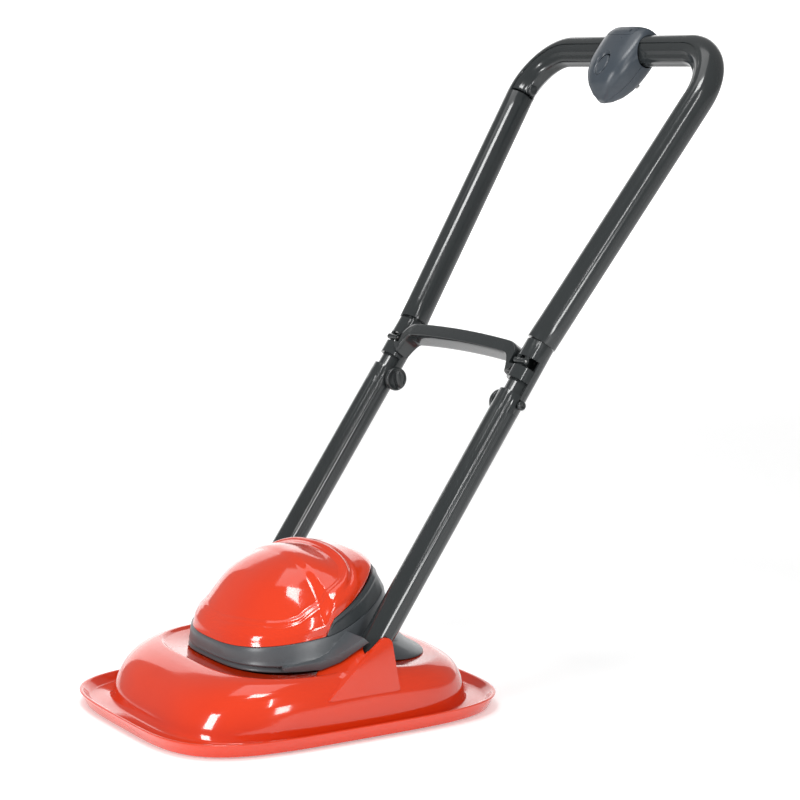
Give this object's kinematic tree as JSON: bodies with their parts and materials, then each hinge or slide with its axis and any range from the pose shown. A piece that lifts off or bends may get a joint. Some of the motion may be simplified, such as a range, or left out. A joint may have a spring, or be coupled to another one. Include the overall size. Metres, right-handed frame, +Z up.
{
  "type": "push lawn mower",
  "caption": "Play-size hover mower: orange hood and motor cover, hinged two-part handle with cross bar, clamp knobs, start button and hidden rollers.",
  "frame": {"origin": "centre of the bounding box in plan, on the floor under the rollers", "axes": "+Z up, -Y towards the front of the hood, +X towards the left hand of someone pushing it"},
  "size_m": [0.3112, 0.576, 0.6157],
  "materials": {
    "orange_plastic": "glossy moulded",
    "charcoal_plastic": "glossy moulded",
    "slate_plastic": "satin moulded",
    "grey_plastic": "satin moulded",
    "black_plastic": "matt moulded",
    "nylon": "natural",
    "steel": "plated"
  },
  "bodies": {
    "deck": {"hood": "orange_plastic", "motor_surround": "grey_plastic", "motor_cover": "orange_plastic", "cover_rear_panel": "black_plastic", "base_plate": "black_plastic", "base_screw_front_left": "steel", "base_screw_front_right": "steel", "base_screw_rear_left": "steel", "base_screw_rear_right": "steel", "axle_saddle_front_left": "nylon", "axle_saddle_front_right": "nylon", "axle_saddle_rear_left": "nylon", "axle_saddle_rear_right": "nylon", "pivot_pin_left": "steel", "pivot_pin_right": "steel", "clicker_case": "nylon", "clicker_lid": "nylon", "clicker_reed": "steel"},
    "front_axle": {"front_axle_rod": "steel", "front_wheel_left": "black_plastic", "front_wheel_right": "black_plastic"},
    "rear_axle": {"rear_axle_rod": "steel", "rear_wheel_left": "black_plastic", "rear_wheel_right": "black_plastic", "drive_gear": "nylon"},
    "clicker": {"clicker_shaft": "nylon", "ratchet_wheel": "nylon"},
    "lower_frame": {"lower_tube_left": "charcoal_plastic", "lower_tube_right": "charcoal_plastic", "cross_handle": "charcoal_plastic", "clamp_bolt_left": "charcoal_plastic", "clamp_bolt_right": "charcoal_plastic", "hinge_pin_left": "steel", "hinge_pin_right": "steel"},
    "knob_left": {"clamp_knob_left": "charcoal_plastic"},
    "knob_right": {"clamp_knob_right": "charcoal_plastic"},
    "upper_handle": {"hinge_sleeve_left": "charcoal_plastic", "hinge_sleeve_right": "charcoal_plastic", "upper_tube": "charcoal_plastic", "grip_insert": "charcoal_plastic", "control_box_front": "slate_plastic", "control_box_back": "slate_plastic", "box_screw_left": "steel", "box_screw_right": "steel", "button_spring": "steel"},
    "start_button": {"start_button": "slate_plastic"}
  },
  "joints": [
    {"name": "front_axle_spin", "type": "hinge", "parent": "deck", "child": "front_axle", "pos_m": [0, -0.19334, 0.014], "axis": [1, 0, 0], "continuous": true},
    {"name": "rear_axle_spin", "type": "hinge", "parent": "deck", "child": "rear_axle", "pos_m": [0, -0.02534, 0.014], "axis": [1, 0, 0], "continuous": true},
    {"name": "clicker_spin", "type": "hinge", "parent": "deck", "child": "clicker", "pos_m": [0, -0.04176, 0.0255], "axis": [1, 0, 0], "continuous": true},
    {"name": "handle_tilt", "type": "hinge", "parent": "deck", "child": "lower_frame", "pos_m": [0, -0.09422, 0.067], "axis": [1, 0, 0], "range_deg": [-45, 0]},
    {"name": "handle_fold", "type": "hinge", "parent": "lower_frame", "child": "upper_handle", "pos_m": [0, 0.06567, 0.31583], "axis": [1, 0, 0], "range_deg": [0, 120]},
    {"name": "knob_left_turn", "type": "hinge", "parent": "lower_frame", "child": "knob_left", "pos_m": [0.0946, 0.05606, 0.277], "axis": [-1, 0, 0], "range_deg": [0, 270]},
    {"name": "knob_right_turn", "type": "hinge", "parent": "lower_frame", "child": "knob_right", "pos_m": [-0.0946, 0.05606, 0.277], "axis": [1, 0, 0], "range_deg": [0, 270]},
    {"name": "start_button_press", "type": "slide", "parent": "upper_handle", "child": "start_button", "axis": [0, 0.8251, -0.565], "range_m": [0, 0.0022], "stiffness_N_per_m": 300, "springref_m": -0.003, "deforming": ["button_spring"]}
  ],
  "couplings": [
    {"joint": "clicker_spin", "follows": "rear_axle_spin", "ratio": -2}
  ]
}
